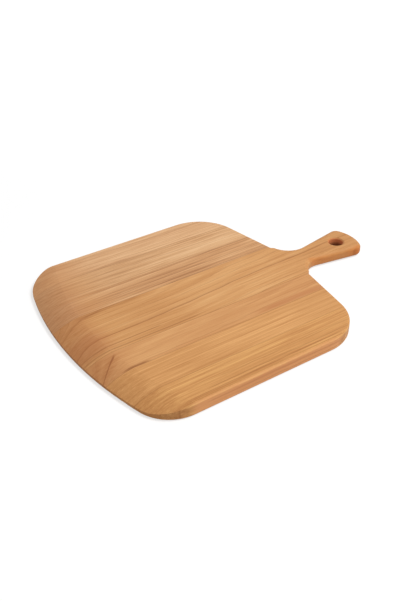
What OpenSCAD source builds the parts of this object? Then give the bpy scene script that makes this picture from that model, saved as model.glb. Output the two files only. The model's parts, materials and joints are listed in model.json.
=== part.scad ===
// Serving board: solid staves glued edge to edge, with the handle cut from the centre stave.
// The board lies flat, with its underside on z = 0, its long axis along y and the handle towards +y.
// The origin is the centre of its footprint; each solid is worked out from the front edge and then moved.

/* [Board] */
// Width across the parallel sides
board_w = 340; // [300:2:380]
// Length from the front edge to where the side and shoulder lines would cross
body_l = 315; // [290:0.5:340]
// Thickness of the wood
board_t = 16.5; // [14:0.5:22]
// Radius of the long curve of the front edge
front_r = 508; // [420:4:700]
// Radius of the two front corners
front_corner_r = 50; // [30:1:65]
// Radius of the two rear corners
rear_corner_r = 61; // [30:1:75]
// Slope of the shoulders, in degrees
shoulder_slope = 9.6; // [4:0.2:16]
// Radius of the rounded arris round the body
edge_r = 2.5; // [1:0.1:4]

/* [Front taper] */
// Thickness left at the front lip
lip_t = 5.5; // [3.5:0.25:8]
// How far the taper reaches back from the front edge
taper_run = 36; // [28:1:60]
// Radius of the taper's slight crown
taper_r = 95; // [90:5:300]

/* [Handle] */
// Length of the whole board from the front edge to the end of the handle
total_l = 455; // [435:1:480]
// Width of the neck at its narrowest
neck_w = 34; // [30:0.2:42]
// Angle at which each side of the handle flares, in degrees
flare = 9.6; // [4:0.2:11]
// Turn of the outline round each corner of the handle's end, in degrees
corner_turn = 76.5; // [70:0.5:82]
// Radius of the two corners at the handle's end
end_corner_r = 12.2; // [12.2:0.2:15]
// Radius of the hollow on each side of the neck
hollow_r = 28; // [24:1:36]
// Radius of the handle's soft edges
grip_edge_r = 6; // [3:0.1:6]

/* [Collar] */
// Width over the collar's two corners, where the neck stands on the shoulders
collar_w = 66; // [60:1:76]
// Height of the collar's corners above the shoulder lines
collar_rise = 6.8; // [4:0.1:10]
// Slope of the collar's short flanks, in degrees
collar_slope = 49.5; // [40:0.5:65]

/* [Hanging hole] */
// Diameter of the straight bore
hole_d = 20; // [12:0.5:24]
// Distance from the handle's end to the middle of the hole
hole_inset = 32; // [26:0.5:40]
// Radius of the hole's softened rims
hole_rim_r = 3; // [1:0.1:4]

/* [Staves] */
// Wood left beside the collar on each side of the centre stave
centre_margin = 2; // [1:0.5:6]
// Width of the stave next to the centre stave
inner_stave_w = 39; // [34:1:46]
// Width of the stave between the inner and the outer stave
middle_stave_w = 45; // [40:1:48]

/* [Hidden] */
$fa = 0.8;
$fs = 0.4;
// Overrun of every cut, and reach of the helper outlines beyond the board
over = 5;
far = 25;
// Depth of the ring of wood round the hanging hole
hole_rim_depth = 5;
half_w = board_w / 2;

// Point on the line from p along the unit vector u, at distance r from c; side picks one of the two
function reach(p, u, c, r, side) =
    let (d = p - c, b = d * u, root = sqrt(b * b - d * d + r * r))
    p + u * (-b + side * root);
function polar(a) = [cos(a), sin(a)];
function angle_to(c, p) = atan2(p.y - c.y, p.x - c.x);
// Point where the line through p along u meets the centre line
function to_axis(p, u) = [0, p.y - u.y * p.x / u.x];

// Front curve and front corner
front_c = [0, front_r];
corner_c = reach([half_w - front_corner_r, 0], [0, 1], front_c, front_r - front_corner_r, -1);
corner_a = angle_to(front_c, corner_c);

// Rear corner and the shoulder line
shoulder_p = [half_w, body_l];
shoulder_n = polar(90 - shoulder_slope);
rear_c = [half_w - rear_corner_r,
          body_l - rear_corner_r * (1 - sin(shoulder_slope)) / cos(shoulder_slope)];

// Collar: its corner lies at collar_p, and its flank runs down to the shoulder at collar_foot
collar_p = [collar_w / 2, body_l + (half_w - collar_w / 2) * tan(shoulder_slope) + collar_rise];
flank_u = polar(180 - collar_slope);
collar_foot = collar_p - flank_u * collar_rise * cos(shoulder_slope) / sin(collar_slope - shoulder_slope);

// Hollow of the neck: a circle through the collar's corner that leaves neck_w between its two sides
hollow_c = reach([neck_w / 2 + hollow_r, 0], [0, 1], collar_p, hollow_r, 1);

// Flared side of the handle, its corner and its rounded end
side_n = polar(-flare);
side_u = polar(90 - flare);
side_start = hollow_c - hollow_r * side_n;
tip_a = corner_turn - flare;
end_r = (side_n * side_start - side_n.y * total_l - end_corner_r * (1 - cos(corner_turn)))
        / (cos(corner_turn) - side_n.y);
end_c = [0, total_l - end_r];
tip_c = end_c + (end_r - end_corner_r) * polar(tip_a);
side_len = side_u * (tip_c - side_start);
hole_c = [0, total_l - hole_inset];

// Far points that the cells of the body share
corner_far = front_c + (front_r + far) * polar(corner_a);
rear_far = rear_c + (rear_corner_r + far) * shoulder_n;

// Middle of the neck, where the flank's line crosses the hollow's radius
neck_far = to_axis(hollow_c, polar(90 - collar_slope));

// The handle's flat core ends halfway between its edge rounding and the depth of its rim
core_inset = (grip_edge_r + end_corner_r) / 2;
core_half = [
    side_start - core_inset * side_n - over * side_u,
    tip_c + (end_corner_r - core_inset) * polar(tip_a / 2 - flare / 2),
    [0, total_l - core_inset]
];

// Glue lines on the right half, out from the centre line
centre_x = collar_foot.x + centre_margin;
inner_x = centre_x + inner_stave_w;
middle_x = inner_x + middle_stave_w;
outer_x = half_w + over;

// Cross-section of an edge: wood from inner to its moulded face at outer
module edge_section(inner, outer, arris) {
    translate([inner, 0]) square([outer - arris - inner, board_t]);
    translate([outer - arris, arris]) square([arris, board_t - 2 * arris]);
    translate([outer - arris, arris]) mirror([0, 1]) quarter(arris);
    translate([outer - arris, board_t - arris]) quarter(arris);
}

module quarter(r) {
    intersection() {
        circle(r);
        square(r);
    }
}

// Wood inside a convex bend, from the moulded edge in to a depth; it turns from the x axis
module bend(r, turn, depth, arris) {
    rotate_extrude(angle = turn) edge_section(r - depth, r, arris);
}

// Wood behind a straight edge that runs down the y axis from 0, with the wood on the minus side
module straight(length, depth, arris) {
    rotate([90, 0, 0])
        linear_extrude(length)
            edge_section(-depth, 0, arris);
}

// The part of a solid that stands inside a plan outline
module within(points) {
    intersection() {
        translate([0, 0, -over]) linear_extrude(board_t + 2 * over) polygon(points);
        children();
    }
}

// The part of a solid between two glue lines
module between(from_x, to_x) {
    intersection() {
        translate([from_x, -over, -over]) cube([to_x - from_x, total_l + 2 * over, board_t + 2 * over]);
        children();
    }
}

// Right half of the body between the front curve and the shoulder line
module main_cell() {
    within([[0, -far], corner_far, corner_c, rear_c, rear_far, [0, total_l]])
        intersection() {
            translate(front_c) rotate(-90) bend(front_r, 90, front_r, edge_r);
            translate(rear_c)
                rotate(90 - shoulder_slope)
                    translate([rear_corner_r, total_l])
                        straight(2 * total_l, total_l, edge_r);
        }
}

// Right side with its two rounded corners
module side_cells() {
    within([corner_c, [half_w + far, corner_c.y], [half_w + far, rear_c.y], rear_c])
        translate([half_w, total_l]) straight(2 * total_l, half_w, edge_r);
    within([corner_c, corner_far, [half_w + far, -far], [half_w + far, corner_c.y]])
        translate(corner_c) bend(front_corner_r, 360, front_corner_r, edge_r);
    within([rear_c, [half_w + far, rear_c.y], [half_w + far, body_l + far], rear_far])
        translate(rear_c) bend(rear_corner_r, 360, rear_corner_r, edge_r);
}

// Frame of the neck's hollow: x points into the wood, square to the handle's flared side
module hollow_frame() {
    translate(hollow_c) rotate(180 - flare) children();
}

// Frame of the handle's corner, and the same frame turned towards the handle's end
module tip_frame() {
    hollow_frame() translate([hollow_r + end_corner_r, -side_len]) children();
}

module end_frame() {
    tip_frame() rotate(corner_turn - 180) children();
}

// Wood outside the neck's hollow
module hollow_side() {
    hollow_frame()
        rotate_extrude(angle = 90 + flare)
            translate([hollow_r, 0])
                mirror([1, 0])
                    edge_section(-half_w, 0, grip_edge_r);
}

// Right half of the neck
module neck_half() {
    within([hollow_c, neck_far, [0, total_l]]) hollow_side();
}

// Right half of the collar, which the flank cuts off
module collar_half() {
    within([hollow_c, neck_far, [0, rear_c.y], [centre_x, rear_c.y], [centre_x, hollow_c.y]])
        intersection() {
            hollow_side();
            translate(collar_p)
                rotate(90 - collar_slope)
                    translate([0, half_w])
                        straight(total_l, total_l, edge_r);
        }
}

// Right half of the handle's moulded rim: its flared side, its corner and its rounded end
module grip_half() {
    hollow_frame()
        translate([hollow_r, 0])
            mirror([1, 0, 0])
                straight(side_len, end_corner_r, grip_edge_r);
    intersection() {
        tip_frame() rotate(180) bend(end_corner_r, 180, end_corner_r, grip_edge_r);
        below_end();
    }
    between(0, half_w)
        end_frame()
            translate([end_corner_r - end_r, 0])
                bend(end_r, 90, 2 * end_corner_r, grip_edge_r);
}

// All that lies on the board's side of the radius from the end curve to the handle's corner
module below_end() {
    end_frame() translate([-far, -far, -over]) cube([2 * far, far, board_t + 2 * over]);
}

// The front taper: a ring of wood above a crowned slope, planed off along the front curve
module taper_cut() {
    rise = board_t - lip_t;
    chord = norm([taper_run, rise]);
    reach_in = sqrt(taper_r * taper_r - chord * chord / 4);
    crown_d = taper_run / 2 + reach_in * rise / chord;
    crown_z = (lip_t + board_t) / 2 - reach_in * taper_run / chord;
    translate(front_c)
        rotate(180)
            rotate_extrude(angle = 180)
                difference() {
                    translate([front_r - crown_d, 0]) square([crown_d + over, board_t + over]);
                    translate([front_r - crown_d, crown_z]) circle(taper_r);
                }
}

// Half of the handle stave, which carries the collar, the neck and the handle
module handle_half() {
    between(0, centre_x) main_cell();
    collar_half();
    neck_half();
    grip_half();
}

// The handle stave without its hole
module handle_blank() {
    handle_half();
    mirror([1, 0, 0]) handle_half();
    linear_extrude(board_t)
        polygon(concat(core_half, [for (i = [len(core_half) - 1 : -1 : 0]) [-core_half[i].x, core_half[i].y]]));
}

// The hanging hole with its softened rims, in a ring of wood
module hole_ring() {
    translate(hole_c)
        rotate_extrude()
            translate([hole_d / 2, 0])
                mirror([1, 0])
                    edge_section(-hole_rim_depth, 0, hole_rim_r);
}

// A stave of the right half between two glue lines
module stave(from_x, to_x) {
    difference() {
        union() {
            between(from_x, to_x) main_cell();
            if (to_x > rear_c.x) between(from_x, to_x) side_cells();
        }
        taper_cut();
    }
}

// Moves a solid from the front edge's frame to the footprint's centre
module placed() {
    translate([0, -total_l / 2]) children();
}

module handle_stave() {
    color("peru") placed() {
        difference() {
            handle_blank();
            translate([hole_c.x, hole_c.y, -over])
                cylinder(h = board_t + 2 * over, d = hole_d + hole_rim_r + hole_rim_depth);
            taper_cut();
        }
        hole_ring();
    }
}

module inner_stave_right() {
    color("burlywood") placed() stave(centre_x, inner_x);
}

module middle_stave_right() {
    color("tan") placed() stave(inner_x, middle_x);
}

module outer_stave_right() {
    color("sandybrown") placed() stave(middle_x, outer_x);
}

module inner_stave_left() {
    color("burlywood") placed() mirror([1, 0, 0]) stave(centre_x, inner_x);
}

module middle_stave_left() {
    color("tan") placed() mirror([1, 0, 0]) stave(inner_x, middle_x);
}

module outer_stave_left() {
    color("sandybrown") placed() mirror([1, 0, 0]) stave(middle_x, outer_x);
}

handle_stave();
inner_stave_right();
middle_stave_right();
outer_stave_right();
inner_stave_left();
middle_stave_left();
outer_stave_left();
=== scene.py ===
"""Serving board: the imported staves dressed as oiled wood, in studio light and the photograph's view."""

import json
import math

import bpy
from mathutils import Matrix, Vector


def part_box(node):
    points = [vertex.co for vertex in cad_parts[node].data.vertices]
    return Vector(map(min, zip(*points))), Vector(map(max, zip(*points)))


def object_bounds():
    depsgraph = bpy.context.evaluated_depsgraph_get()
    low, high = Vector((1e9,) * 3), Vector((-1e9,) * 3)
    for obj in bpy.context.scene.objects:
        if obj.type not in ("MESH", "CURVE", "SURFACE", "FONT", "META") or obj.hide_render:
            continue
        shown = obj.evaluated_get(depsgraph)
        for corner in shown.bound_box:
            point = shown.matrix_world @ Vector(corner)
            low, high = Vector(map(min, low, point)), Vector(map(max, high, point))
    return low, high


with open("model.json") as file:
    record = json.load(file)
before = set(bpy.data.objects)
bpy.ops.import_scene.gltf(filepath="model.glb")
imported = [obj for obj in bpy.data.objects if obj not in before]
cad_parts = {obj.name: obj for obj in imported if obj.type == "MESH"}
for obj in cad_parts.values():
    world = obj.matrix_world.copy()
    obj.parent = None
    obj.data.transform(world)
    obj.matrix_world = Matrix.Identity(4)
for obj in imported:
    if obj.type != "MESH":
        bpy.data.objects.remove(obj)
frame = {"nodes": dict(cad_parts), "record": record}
cad_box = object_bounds()

MM = 1000.0  # mm in a metre
WHITE = (1.0, 1.0, 1.0, 1.0)

# Camera, as fitted to the outline of the board in the photograph: angles in radians, lengths in metres
AZIMUTH, ELEVATION = 0.965956, 0.599664
TARGET = Vector((-0.006665, -0.032855, 0.0))
DISTANCE = 1.037849
CLIP_NEAR, CLIP_FAR = 0.05, 50.0
SENSOR_MM = 36.0
FOCAL_PIXELS, FRAME_PIXELS = 798.041, 401.0


def srgb(red, green, blue):
    """Linear colour of an 8-bit sRGB one, by the curve that defines sRGB."""
    def linear(part):
        part /= 255.0
        return part / 12.92 if part <= 0.04045 else ((part + 0.055) / 1.055) ** 2.4
    return (linear(red), linear(green), linear(blue), 1.0)


def make_camera():
    """Upright camera that looks at TARGET from DISTANCE away, at the two angles."""
    right = Vector((math.cos(AZIMUTH), math.sin(AZIMUTH), 0.0))
    level = Vector((math.sin(AZIMUTH), -math.cos(AZIMUTH), 0.0)) * math.cos(ELEVATION)
    back = level + Vector((0.0, 0.0, math.sin(ELEVATION)))
    up = back.cross(right)
    data = bpy.data.cameras.new("camera")
    data.sensor_fit = "HORIZONTAL"
    data.sensor_width = SENSOR_MM
    data.lens = SENSOR_MM * (FOCAL_PIXELS / FRAME_PIXELS)
    data.clip_start, data.clip_end = CLIP_NEAR, CLIP_FAR
    camera = bpy.data.objects.new("camera", data)
    bpy.context.scene.collection.objects.link(camera)
    turn = Matrix((right, up, back)).transposed().to_4x4()
    camera.matrix_world = Matrix.Translation(TARGET + back * DISTANCE) @ turn
    bpy.context.scene.camera = camera


class Graph:
    """Short calls that add nodes to a tree and join them up."""

    def __init__(self, tree):
        self.tree = tree

    def put(self, socket, value):
        """Links a node's output to an input, or sets a plain value on it."""
        if isinstance(value, bpy.types.NodeSocket):
            self.tree.links.new(value, socket)
        else:
            socket.default_value = value

    def math(self, operation, *values):
        node = self.tree.nodes.new("ShaderNodeMath")
        node.operation = operation
        for socket, value in zip(node.inputs, values):
            self.put(socket, value)
        return node.outputs[0]

    def add(self, a, b):
        return self.math("ADD", a, b)

    def sub(self, a, b):
        return self.math("SUBTRACT", a, b)

    def mul(self, a, b):
        return self.math("MULTIPLY", a, b)

    def split(self, vector):
        node = self.tree.nodes.new("ShaderNodeSeparateXYZ")
        self.put(node.inputs[0], vector)
        return node.outputs[0], node.outputs[1], node.outputs[2]

    def split_mm(self, place):
        """The coordinates, in mm, of a place given in metres."""
        return [self.mul(part, MM) for part in self.split(place)]

    def noise(self, place, rates, detail, roughness):
        """Noise from 0 to 1 that changes along each coordinate at a rate of its own."""
        scaled = self.tree.nodes.new("ShaderNodeCombineXYZ")
        for socket, part, rate in zip(scaled.inputs, place, rates):
            self.put(socket, self.mul(part, rate))
        node = self.tree.nodes.new("ShaderNodeTexNoise")
        node.noise_dimensions = "3D"
        self.put(node.inputs["Vector"], scaled.outputs[0])
        self.put(node.inputs["Scale"], 1.0)
        self.put(node.inputs["Detail"], detail)
        self.put(node.inputs["Roughness"], roughness)
        return node.outputs["Fac"]

    def swing(self, value):
        """A value from 0 to 1, moved down so that it swings about 0."""
        return self.sub(value, 0.5)

    def white(self, value):
        """A number from 0 to 1, drawn by the value given."""
        node = self.tree.nodes.new("ShaderNodeTexWhiteNoise")
        node.noise_dimensions = "1D"
        self.put(node.inputs["W"], value)
        return node.outputs["Value"]

    def smooth(self, value, low, high, to_low=0.0, to_high=1.0):
        """A smooth step from to_low, where the value is low, to to_high, where it is high."""
        node = self.tree.nodes.new("ShaderNodeMapRange")
        node.interpolation_type = "SMOOTHSTEP"
        for socket, given in zip(node.inputs, (value, low, high, to_low, to_high)):
            self.put(socket, given)
        return node.outputs[0]

    def radius(self, a, b, from_a, from_b):
        """Distance from a line, in the plane of the two coordinates given."""
        off_a, off_b = self.sub(a, from_a), self.sub(b, from_b)
        return self.math("SQRT", self.add(self.mul(off_a, off_a), self.mul(off_b, off_b)))

    def mix(self, share, a, b):
        """Colour a with a share of colour b in it."""
        node = self.tree.nodes.new("ShaderNodeMix")
        node.data_type = "RGBA"
        self.put(node.inputs["Factor"], share)
        self.put(node.inputs["A"], a)
        self.put(node.inputs["B"], b)
        return node.outputs["Result"]

    def group(self, tree, values):
        """A node group with the values given to its inputs by name."""
        node = self.tree.nodes.new("ShaderNodeGroup")
        node.node_tree = tree
        for name, value in values.items():
            self.put(node.inputs[name], value)
        return node.outputs


def new_group(name, given, made):
    """A node group that has only its sockets yet: names by kind, for its inputs and for its outputs."""
    tree = bpy.data.node_groups.new(name, "ShaderNodeTree")
    for side, kinds in (("INPUT", given), ("OUTPUT", made)):
        for kind, names in kinds.items():
            for socket in names:
                tree.interface.new_socket(socket, in_out=side, socket_type="NodeSocket" + kind)
    inputs = tree.nodes.new("NodeGroupInput").outputs
    outputs = tree.nodes.new("NodeGroupOutput").inputs
    return Graph(tree), inputs, outputs


# Noises of a place in mm: rates across the board, along it and upwards, then detail and roughness
WAVE = ((0.018, 0.0042, 0.018), 1.0, 0.5)
RIPPLE = ((0.11, 0.022, 0.11), 2.0, 0.5)
FINE_FIBRE = ((1.2, 0.02, 0.6), 3.0, 0.65)
COARSE_FIBRE = ((0.45, 0.005, 0.15), 3.0, 0.7)
BROAD_TONE = ((0.014, 0.007, 0.02), 1.0, 0.5)
PORES = ((3.2, 0.28, 3.2), 1.0, 0.5)
OIL_PATCHES = ((0.9, 0.25, 0.9), 2.0, 0.5)

# Noises of other values: distance from the pith, length and seed; ring number and seed; a mark's radius
# and the length; and width, length and seed
STREAKS = ((0.24, 0.0042, 1.0), 2.0, 0.55)
CROWDING = ((0.37, 1.0, 1.0), 1.0, 0.5)
WANDERING = ((1.0, 0.03, 1.0), 2.0, 0.5)
WEAR_HIGHLIGHT_NOISE = ((0.06, 0.06, 1.0), 3.0, 0.6)

# What a step of the seed adds to the length in mm, and to the number that draws a ring's strength
SEED_MM, SEED_RINGS = 137.0, 17.0

# Size of the ripples next to the waves; most rings that crowding shifts one by; the faintest ring
RIPPLE_SHARE = 0.22
CROWDED_RINGS = 2.4
FAINTEST_RING = 0.2

# Masks: where each one starts and ends, and its values there if they aren't 0 and 1
LINE_RISE = (0.82, 0.94)
RING_END = (0.94, 1.0, 1.0, 0.0)
PORE_RISE = (0.62, 0.74)
LIGHT_RISE = (0.35, 1.0)
DARK_RISE = (0.5, -0.1, 0.0, 0.6)

# Shares in the fibre, in the colour, in the roughness and in the height that makes the bump
FINE_SHARE, COARSE_SHARE = 0.5, 0.5
BROAD_SHARE, LATE_DARK, PORE_DARK = 0.6, 0.5, 0.22
ROUGHNESS, FIBRE_ROUGH, LATE_ROUGH, PORE_ROUGH = 0.5, -0.2, -0.05, 0.12
FIBRE_HIGH, LATE_HIGH, PORE_DEEP = 0.5, 0.5, 0.8


def wood_group():
    """Figure of one stave, from the distance to the pith line: rings, fibres, streaks and pores.

    With x, y and z in mm, the ring number is (R + slope * y + warp) / spacing, plus a noise that crowds the
    rings, and R is the distance in the x-z plane from the pith line. A ring darkens slowly to its late wood
    and then ends at once.
    """
    g, given, made = new_group(
        "wood_figure",
        {"Vector": ("Vector",), "Color": ("Light", "Middle", "Dark"),
         "Float": ("Pith X", "Pith Z", "Spacing", "Slope", "Warp", "Seed",
                   "Line", "Band", "Sharpness", "Fibre")},
        {"Color": ("Color",), "Float": ("Roughness", "Height")},
    )
    x, y, z = g.split_mm(given["Vector"])
    seed = given["Seed"]
    seeded_y = g.add(y, g.mul(seed, SEED_MM))
    place = (x, seeded_y, z)

    # Waves and ripples of the trunk, stretched along the board, bend the rings
    wave = g.swing(g.noise(place, *WAVE))
    ripple = g.swing(g.noise(place, *RIPPLE))
    warp = g.mul(g.add(wave, g.mul(ripple, RIPPLE_SHARE)), given["Warp"])
    radius = g.add(g.radius(x, z, given["Pith X"], given["Pith Z"]), g.mul(y, given["Slope"]))
    radius = g.add(radius, warp)
    ring = g.math("DIVIDE", radius, given["Spacing"])
    ring = g.add(ring, g.mul(g.noise((ring, seed, 0.0), *CROWDING), CROWDED_RINGS))
    whole = g.math("FLOOR", ring)
    part = g.math("FRACT", ring)
    drawn = g.white(g.add(whole, g.mul(seed, SEED_RINGS)))
    strength = g.add(FAINTEST_RING, g.mul(drawn, 1.0 - FAINTEST_RING))
    end = g.smooth(part, *RING_END)
    late = g.mul(g.mul(g.math("POWER", part, given["Sharpness"]), end), strength)
    line = g.mul(g.mul(g.smooth(part, *LINE_RISE), end), g.mul(strength, strength))

    # Fibres and streaks run along the board
    fine = g.noise(place, *FINE_FIBRE)
    coarse = g.noise(place, *COARSE_FIBRE)
    fibre = g.add(g.mul(fine, FINE_SHARE), g.mul(coarse, COARSE_SHARE))
    streak = g.noise((radius, seeded_y, seed), *STREAKS)
    broad = g.noise(place, *BROAD_TONE)
    pore = g.smooth(g.noise(place, *PORES), *PORE_RISE)

    # A high tone mixes in the light colour, and a low one the dark colour
    tone = g.add(g.mul(g.swing(streak), given["Band"]), g.mul(g.swing(broad), BROAD_SHARE))
    tone = g.add(0.5, g.add(tone, g.mul(g.swing(fibre), given["Fibre"])))
    colour = g.mix(g.smooth(tone, *LIGHT_RISE), given["Middle"], given["Light"])
    colour = g.mix(g.smooth(tone, *DARK_RISE), colour, given["Dark"])
    colour = g.mix(g.mul(late, g.mul(given["Line"], LATE_DARK)), colour, given["Dark"])
    colour = g.mix(g.mul(line, given["Line"]), colour, given["Dark"])
    colour = g.mix(g.mul(pore, PORE_DARK), colour, given["Dark"])
    g.put(made["Color"], colour)

    rough = g.add(ROUGHNESS, g.add(g.mul(g.swing(fibre), FIBRE_ROUGH), g.mul(late, LATE_ROUGH)))
    g.put(made["Roughness"], g.add(rough, g.mul(pore, PORE_ROUGH)))
    height = g.add(g.mul(fibre, FIBRE_HIGH), g.mul(late, LATE_HIGH))
    g.put(made["Height"], g.sub(height, g.mul(pore, PORE_DEEP)))
    return g.tree


# A mark is whole up to this share of its half width, and gone at the half width
MARK_FALL = (0.35, 1.0, 1.0, 0.0)


def mark_group():
    """One long mark, such as a glue joint, a mineral streak or a single dark ring, or a broad cast of
    painted shade.

    It is strongest on the surface R + drift * y = radius round the given pith line, in mm, which a slow
    noise moves sideways. It fades to nothing at the half width, and at From and To along the board.
    """
    g, given, made = new_group(
        "wood_mark_and_painted_shade",
        {"Vector": ("Vector",), "Color": ("Color", "Mark"),
         "Float": ("Pith X", "Pith Z", "Radius", "Half Width", "From", "To",
                   "Fade", "Drift", "Wander", "Strength")},
        {"Color": ("Color",)},
    )
    x, y, z = g.split_mm(given["Vector"])
    place = g.add(g.radius(x, z, given["Pith X"], given["Pith Z"]), g.mul(y, given["Drift"]))
    wander = g.swing(g.noise((given["Radius"], y, 0.0), *WANDERING))
    place = g.add(place, g.mul(wander, given["Wander"]))
    off = g.math("ABSOLUTE", g.sub(place, given["Radius"]))
    across = g.smooth(g.math("DIVIDE", off, given["Half Width"]), *MARK_FALL)
    start = g.smooth(y, given["From"], g.add(given["From"], given["Fade"]))
    stop = g.smooth(y, g.sub(given["To"], given["Fade"]), given["To"], 1.0, 0.0)
    share = g.mul(g.mul(across, g.mul(start, stop)), given["Strength"])
    g.put(made["Color"], g.mix(share, given["Color"], given["Mark"]))
    return g.tree


# Hanging hole in mm, from the record; tones of its wall, painted lit orange near the top and painted shade
# deep down, and their share
HOLE = next(mount for mount in frame["record"]["mounts"] if mount["name"] == "hanging_hole")
HOLE_X, HOLE_Y = (MM * v for v in HOLE["pos_m"][:2])
HOLE_R = HOLE["dims"]["r_mm"]
WALL_LIT_TONE, WALL_SHADE_TONE = (228, 142, 92), (104, 50, 20)
WALL_SHARE = 0.85

# Masks of the hole's wall: by the mm from its axis, and by the mm above the underside, over which the
# painted shade deepens downwards
WALL_FALL = (HOLE_R + 0.2, HOLE_R + 1.4, 1.0, 0.0)
WALL_SHADE_RISE = (12.0, 5.0)

# Masks by the normal's part along the fibres, then by its upward part, and by the noise that breaks up the
# paler, highlighted arris
END_RISE = (0.35, 0.95)
OBLIQUE_RISE = (0.08, 0.3)
ARRIS_RISE = (0.15, 0.45)
ARRIS_FALL = (0.62, 0.86, 1.0, 0.0)
WEAR_HIGHLIGHT_RISE = (0.3, 0.7, 0.4, 1.0)

# Share of the end grain's tone where it took least oil, the most that patches add to it, and its share on
# faces oblique to the fibres; how much rougher end grain and rubbed arrises are; and the arris tone, paler
# from use and a painted highlight
END_LEAST, END_PATCHES, OBLIQUE_DARK = 0.3, 0.4, 0.18
END_ROUGH, WORN_ROUGH = 0.12, 0.06
WORN_AND_HIGHLIGHT_TONE = (236, 188, 120)


def surface_group():
    """What a worked surface does to the wood's colour and roughness, by its normal and its place, with
    painted light and shade.

    Round an arris the normal's upward part is between that of a side and that of the top: there the wood is
    paler from use, which also paints a highlight. Where the normal runs along the fibres, end grain takes up
    more oil and is darker. The hanging hole's inside is oiled end grain, painted lit near the top and
    painted shade deep down.
    """
    g, given, made = new_group(
        "worked_surface_and_painted_light",
        {"Vector": ("Vector", "Normal"), "Color": ("Color", "Worn And Highlight", "End Grain"),
         "Float": ("Roughness", "Seed", "Wear And Highlight")},
        {"Color": ("Color",), "Float": ("Roughness",)},
    )
    x, y, z = g.split_mm(given["Vector"])
    normal = g.split(given["Normal"])
    along, up = (g.math("ABSOLUTE", part) for part in normal[1:])

    ends = g.smooth(along, *END_RISE)
    oil = g.add(END_LEAST, g.mul(g.noise((x, y, z), *OIL_PATCHES), END_PATCHES))
    colour = g.mix(g.mul(ends, oil), given["Color"], given["End Grain"])
    oblique = g.mul(g.smooth(along, *OBLIQUE_RISE), OBLIQUE_DARK)
    colour = g.mix(oblique, colour, given["End Grain"])

    bore = g.smooth(g.radius(x, y, HOLE_X, HOLE_Y), *WALL_FALL)
    # Painted light near the top of the hole's wall turns to painted shade deep down
    wall_light_and_shade = g.mix(g.smooth(z, *WALL_SHADE_RISE), srgb(*WALL_LIT_TONE), srgb(*WALL_SHADE_TONE))
    colour = g.mix(g.mul(bore, WALL_SHARE), colour, wall_light_and_shade)

    # Round the arris the wood is paler from use and carries a painted highlight
    wear_highlight_patches = g.smooth(g.noise((x, y, given["Seed"]), *WEAR_HIGHLIGHT_NOISE), *WEAR_HIGHLIGHT_RISE)
    arris = g.mul(g.smooth(up, *ARRIS_RISE), g.smooth(up, *ARRIS_FALL))
    worn_and_highlight = g.mul(g.mul(arris, wear_highlight_patches), given["Wear And Highlight"])
    g.put(made["Color"], g.mix(worn_and_highlight, colour, given["Worn And Highlight"]))
    rough = g.add(given["Roughness"], g.add(g.mul(ends, END_ROUGH), g.mul(worn_and_highlight, WORN_ROUGH)))
    g.put(made["Roughness"], rough)
    return g.tree


# Look of each stave. Its rings: pith line across the board and above its underside in mm, spacing in mm,
# slope along the board, warp in mm, and seed. Its figure: strength of ring lines and of bands, sharpness of
# the late wood, strength of fibres, and how strongly the arris is rubbed paler and painted with a highlight.
# Its tones
STAVES = {
    "handle_stave": dict(
        pith=(-60, -60), spacing=5.0, slope=0.030, warp=12, seed=1.0,
        line=0.6, band=0.9, sharpness=4.5, fibre=1.7, wear_and_highlight=0.12,
        light=(234, 182, 124), middle=(213, 154, 97), dark=(150, 88, 46),
    ),
    "inner_stave_right": dict(
        pith=(35, -58), spacing=6.0, slope=0.02, warp=8, seed=2.0,
        line=0.4, band=0.9, sharpness=4.0, fibre=1.8, wear_and_highlight=0.5,
        light=(232, 178, 120), middle=(211, 151, 97), dark=(164, 98, 54),
    ),
    "middle_stave_right": dict(
        pith=(-100, 8), spacing=4.6, slope=0.004, warp=3, seed=3.0,
        line=0.4, band=0.7, sharpness=5.0, fibre=2.3, wear_and_highlight=0.5,
        light=(238, 181, 119), middle=(212, 153, 95), dark=(168, 104, 56),
    ),
    "outer_stave_right": dict(
        pith=(-90, 8), spacing=7.5, slope=0.002, warp=2, seed=4.0,
        line=0.5, band=0.9, sharpness=6.0, fibre=2.4, wear_and_highlight=0.6,
        light=(236, 181, 114), middle=(209, 149, 91), dark=(162, 98, 52),
    ),
    "inner_stave_left": dict(
        pith=(-141, -38), spacing=5.0, slope=0.015, warp=9, seed=5.0,
        line=0.9, band=0.9, sharpness=4.0, fibre=2.8, wear_and_highlight=0.5,
        light=(236, 188, 138), middle=(214, 160, 111), dark=(148, 92, 54),
    ),
    "middle_stave_left": dict(
        pith=(-30, -40), spacing=4.4, slope=0.012, warp=8, seed=6.0,
        line=0.85, band=0.9, sharpness=4.0, fibre=3.0, wear_and_highlight=0.5,
        light=(242, 198, 150), middle=(220, 169, 120), dark=(152, 98, 60),
    ),
    "outer_stave_left": dict(
        pith=(-70, -50), spacing=4.2, slope=0.010, warp=8, seed=7.0,
        line=0.7, band=0.9, sharpness=4.0, fibre=2.8, wear_and_highlight=0.5,
        light=(244, 200, 152), middle=(222, 171, 124), dark=(170, 114, 74),
    ),
}

# Tones of the marks, and of the painted shade cast over the front of the board (umber and red-brown)
GLUE = (128, 78, 42)
BROWN = (140, 82, 44)
PAINTED_SHADE_UMBER = (165, 111, 83)
PAINTED_SHADE_RED_BROWN = (172, 98, 62)
RUST = (188, 118, 72)
ORANGE = (208, 120, 54)
TAN = (196, 138, 84)
WARM_TAN = (208, 142, 84)
SALMON = (240, 166, 114)

# The board's half width and the middle of its thickness in mm, from the frame
HALF_WIDTH = MM * cad_box[1][0]
MID_HEIGHT = MM * cad_box[1][2] / 2

# Radius of a straight mark's ring, and the length over which a mark's ends fade if it doesn't say, in mm
STRAIGHT = 1000.0
FADE = 14.0

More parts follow.
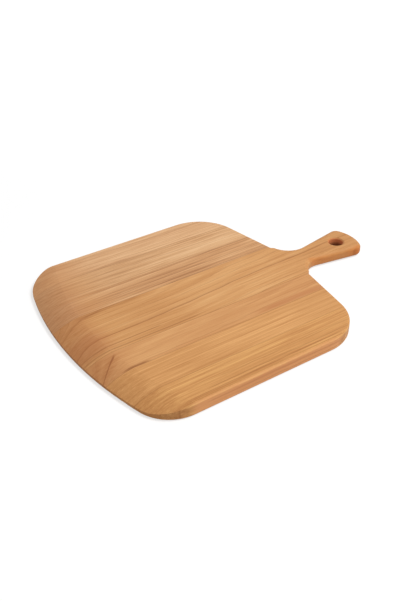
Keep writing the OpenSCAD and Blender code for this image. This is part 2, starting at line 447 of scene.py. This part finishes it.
# Marks, in mm but for their strength, and with drift in mm per mm. A mark lies at a distance from the centre
# plane, at a height on the right side, or on a ring round a pith line, and reaches so far along the board
GLUE_LINE = dict(half=0.45, reach=(-300, 300), strength=0.5, colour=GLUE, fade=1.0)
MARKS = {
    "handle_stave": (
        dict(at=4, half=0.9, reach=(120, 235), strength=0.2, colour=BROWN),
        # The next two marks are red-brown painted shade over the front taper
        dict(at=16, half=30, reach=(-260, -165), strength=0.5, colour=PAINTED_SHADE_RED_BROWN, fade=40, wander=12),
        dict(at=-24, half=34, reach=(-260, -170), strength=0.3, colour=PAINTED_SHADE_RED_BROWN, fade=35, wander=10),
        dict(at=26.5, half=1.2, reach=(-235, -110), strength=0.4, colour=BROWN, drift=0.02),
        dict(at=37.5, half=1.4, reach=(-235, -60), strength=0.4, colour=BROWN),
        dict(at=-6.5, half=4.5, reach=(126, 224), strength=0.5, colour=ORANGE, drift=-0.17),
        dict(at=0, half=90, reach=(150, 300), strength=0.42, colour=TAN, fade=45),
        dict(at=30, half=1.3, reach=(133, 165), strength=0.45, colour=RUST),
        dict(at=34, half=12, reach=(186, 262), strength=0.8, colour=ORANGE, wander=5),
        dict(at=28, half=1.2, reach=(184, 216), strength=0.45, colour=BROWN, wander=4),
        dict(at=-33, half=6, reach=(150, 240), strength=0.25, colour=ORANGE),
    ),
    "inner_stave_right": (
        dict(pith=(35, -58), radius=75.5, half=0.45, reach=(-240, -190), strength=0.7, colour=BROWN, fade=5),
        # Red-brown painted shade over the front taper
        dict(at=61, half=70, reach=(-260, -165), strength=0.22, colour=PAINTED_SHADE_RED_BROWN, fade=40),
        dict(at=79.2, half=2.4, reach=(-202, -158), strength=0.65, colour=BROWN),
        dict(at=75, half=6.5, reach=(-30, 140), strength=0.6, colour=RUST, fade=60, wander=1.5),
    ),
    "middle_stave_right": (
        dict(at=103, half=90, reach=(0, 300), strength=0.3, colour=TAN, fade=70),
    ),
    "outer_stave_right": (
        dict(at=157.5, half=0.8, reach=(-140, 110), strength=0.4, colour=BROWN, wander=3),
        dict(at=162, half=0.7, reach=(-170, 60), strength=0.35, colour=BROWN, wander=3),
        dict(at=148, half=0.9, reach=(-120, 90), strength=0.25, colour=BROWN, wander=4),
        dict(at=171, half=3.6, reach=(-170, 120), strength=0.5, colour=SALMON, wander=1),
        dict(height=10.5, half=1.5, reach=(-150, 105), strength=0.35, colour=RUST, wander=3),
        dict(height=5, half=0.8, reach=(-110, 70), strength=0.3, colour=BROWN, wander=4),
    ),
    "inner_stave_left": (
        dict(at=-61, half=90, reach=(-280, -110), strength=0.4, colour=WARM_TAN, fade=80),
        # Umber painted shade over the front of this stave
        dict(at=-61, half=80, reach=(-280, -160), strength=0.28, colour=PAINTED_SHADE_UMBER, fade=35),
    ),
    "middle_stave_left": (
        dict(at=-103, half=90, reach=(-280, -110), strength=0.45, colour=WARM_TAN, fade=80),
        # Umber painted shade over the front of this stave
        dict(at=-103, half=80, reach=(-280, -150), strength=0.22, colour=PAINTED_SHADE_UMBER, fade=40),
    ),
    "outer_stave_left": (
        dict(at=-148, half=90, reach=(-280, -110), strength=0.5, colour=WARM_TAN, fade=80),
        # Umber painted shade over the front of this stave
        dict(at=-148, half=80, reach=(-280, -125), strength=0.08, colour=PAINTED_SHADE_UMBER, fade=45),
    ),
}


def glue_lines(name):
    """Marks on the sides of a stave that meet another one: all but the board's own sides."""
    low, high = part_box(name)
    sides = (MM * low[0], MM * high[0])
    return [dict(GLUE_LINE, at=side) for side in sides if abs(side) < HALF_WIDTH - GLUE_LINE["half"]]


def mark_pith(mark):
    """Pith line of a mark. That of a straight one is a metre away, so that its ring is all but flat."""
    if "pith" in mark:
        return mark["pith"]
    if "height" in mark:
        return (HALF_WIDTH, mark["height"] - STRAIGHT)
    return (mark["at"] - STRAIGHT, MID_HEIGHT)


def mark_values(mark):
    """A mark as the values of a wood_mark_and_painted_shade node."""
    pith_x, pith_z = mark_pith(mark)
    start, stop = mark["reach"]
    return {"Pith X": pith_x, "Pith Z": pith_z, "Radius": mark.get("radius", STRAIGHT),
            "Half Width": mark["half"], "From": start, "To": stop, "Fade": mark.get("fade", FADE),
            "Drift": mark.get("drift", 0.0), "Wander": mark.get("wander", 0.0),
            "Strength": mark["strength"], "Mark": srgb(*mark["colour"])}


def figure_values(look):
    """A stave's look as the values of a wood_figure node."""
    pith_x, pith_z = look["pith"]
    values = {"Pith X": pith_x, "Pith Z": pith_z}
    for key in ("spacing", "slope", "warp", "seed", "line", "band", "sharpness", "fibre"):
        values[key.capitalize()] = look[key]
    for key in ("light", "middle", "dark"):
        values[key.capitalize()] = srgb(*look[key])
    return values


# Gloss of the wood, and the strength and the height in metres of its bump
WOOD_SPECULAR = 0.12
BUMP_STRENGTH, BUMP_HEIGHT = 0.35, 0.0001


def wood(name, look, figure_tree, mark_tree, surface_tree):
    """Oiled wood of one stave: its figure, then its glue lines and marks, then the worked surface."""
    material = bpy.data.materials.new("oiled_" + name)
    material.use_nodes = True
    tree = material.node_tree
    bsdf = tree.nodes["Principled BSDF"]
    place = tree.nodes.new("ShaderNodeTexCoord").outputs["Object"]
    normal = tree.nodes.new("ShaderNodeNewGeometry").outputs["Normal"]
    g = Graph(tree)
    figure = g.group(figure_tree, {"Vector": place, **figure_values(look)})
    colour = figure["Color"]
    for mark in (*glue_lines(name), *MARKS[name]):
        colour = g.group(mark_tree, {"Vector": place, "Color": colour, **mark_values(mark)})["Color"]
    end_grain = [(middle + dark) / 2 for middle, dark in zip(look["middle"], look["dark"])]
    worked = g.group(surface_tree, {
        "Vector": place, "Normal": normal, "Color": colour, "Roughness": figure["Roughness"],
        "Seed": look["seed"], "Wear And Highlight": look["wear_and_highlight"], "Worn And Highlight": srgb(*WORN_AND_HIGHLIGHT_TONE), "End Grain": srgb(*end_grain),
    })
    bump = tree.nodes.new("ShaderNodeBump")
    bump.inputs["Strength"].default_value = BUMP_STRENGTH
    bump.inputs["Distance"].default_value = BUMP_HEIGHT
    g.put(bump.inputs["Height"], figure["Height"])
    g.put(bsdf.inputs["Base Color"], worked["Color"])
    g.put(bsdf.inputs["Roughness"], worked["Roughness"])
    g.put(bsdf.inputs["Normal"], bump.outputs["Normal"])
    bsdf.inputs["Specular IOR Level"].default_value = WOOD_SPECULAR
    return material


def dress():
    """Gives each stave's slots its own wood. The staves keep their shape."""
    trees = (wood_group(), mark_group(), surface_group())
    for name, look in STAVES.items():
        material = wood(name, look, *trees)
        for slot in frame["nodes"][name].material_slots:
            slot.material = material


# Floor: half its width and its height in metres; the share it scatters of the light for the board, and where
# it is seen; and its glow where it is seen, which grows between two distances in metres from the origin
FLOOR_HALF, FLOOR_Z = 6.0, -0.0004
FLOOR_SCATTER = (0.76, 0.4)
FLOOR_GLOW = (0.35, 1.6, 0.66, 0.93)
FLOOR_ROUGHNESS, FLOOR_SPECULAR = 0.9, 0.1

# Strength of the world as it lights the board, and where it is seen; the lamp, in metres and watts
WORLD_STRENGTH = (0.38, 1.0)
KEY_AT = Vector((1.0, 1.0, 2.35))
KEY_SIZE, KEY_WATTS = 1.0, 50.5


def seen_rays(tree):
    """1 on a ray from the camera, a glossy or a transmission ray, and 0 on those that light the board."""
    path = tree.nodes.new("ShaderNodeLightPath").outputs
    g = Graph(tree)
    seen = g.math("MAXIMUM", path["Is Camera Ray"], path["Is Glossy Ray"])
    return g.math("MAXIMUM", seen, path["Is Transmission Ray"])


def make_floor():
    """White floor. Where it is seen it glows and scatters less, which lightens the board's shadow."""
    mesh = bpy.data.meshes.new("floor")
    corners = [(-1, -1), (1, -1), (1, 1), (-1, 1)]
    mesh.from_pydata([(x * FLOOR_HALF, y * FLOOR_HALF, FLOOR_Z) for x, y in corners], [], [(0, 1, 2, 3)])
    floor = bpy.data.objects.new("floor", mesh)
    bpy.context.scene.collection.objects.link(floor)
    material = bpy.data.materials.new("floor_white")
    material.use_nodes = True
    tree = material.node_tree
    bsdf = tree.nodes["Principled BSDF"]
    bsdf.inputs["Roughness"].default_value = FLOOR_ROUGHNESS
    bsdf.inputs["Specular IOR Level"].default_value = FLOOR_SPECULAR
    bsdf.inputs["Emission Color"].default_value = WHITE
    g = Graph(tree)
    seen = seen_rays(tree)
    g.put(bsdf.inputs["Base Color"], g.smooth(seen, 0.0, 1.0, *FLOOR_SCATTER))
    place = g.split(tree.nodes.new("ShaderNodeTexCoord").outputs["Object"])
    glow = g.smooth(g.radius(place[0], place[1], 0.0, 0.0), *FLOOR_GLOW)
    g.put(bsdf.inputs["Emission Strength"], g.mul(seen, glow))
    mesh.materials.append(material)


def make_light():
    """Even white world, and one broad lamp high above the board's back right, aimed at the origin."""
    world = bpy.data.worlds.new("studio")
    world.use_nodes = True
    tree = world.node_tree
    background = tree.nodes["Background"]
    background.inputs["Color"].default_value = WHITE
    g = Graph(tree)
    g.put(background.inputs["Strength"], g.smooth(seen_rays(tree), 0.0, 1.0, *WORLD_STRENGTH))
    bpy.context.scene.world = world
    data = bpy.data.lights.new("key", "AREA")
    data.shape = "DISK"
    data.size = KEY_SIZE
    data.energy = KEY_WATTS
    key = bpy.data.objects.new("key", data)
    key.location = KEY_AT
    key.rotation_euler = (-KEY_AT).to_track_quat("-Z", "Y").to_euler()
    bpy.context.scene.collection.objects.link(key)


make_camera()
make_floor()
make_light()
dress()
bpy.context.scene.view_settings.view_transform = "Standard"
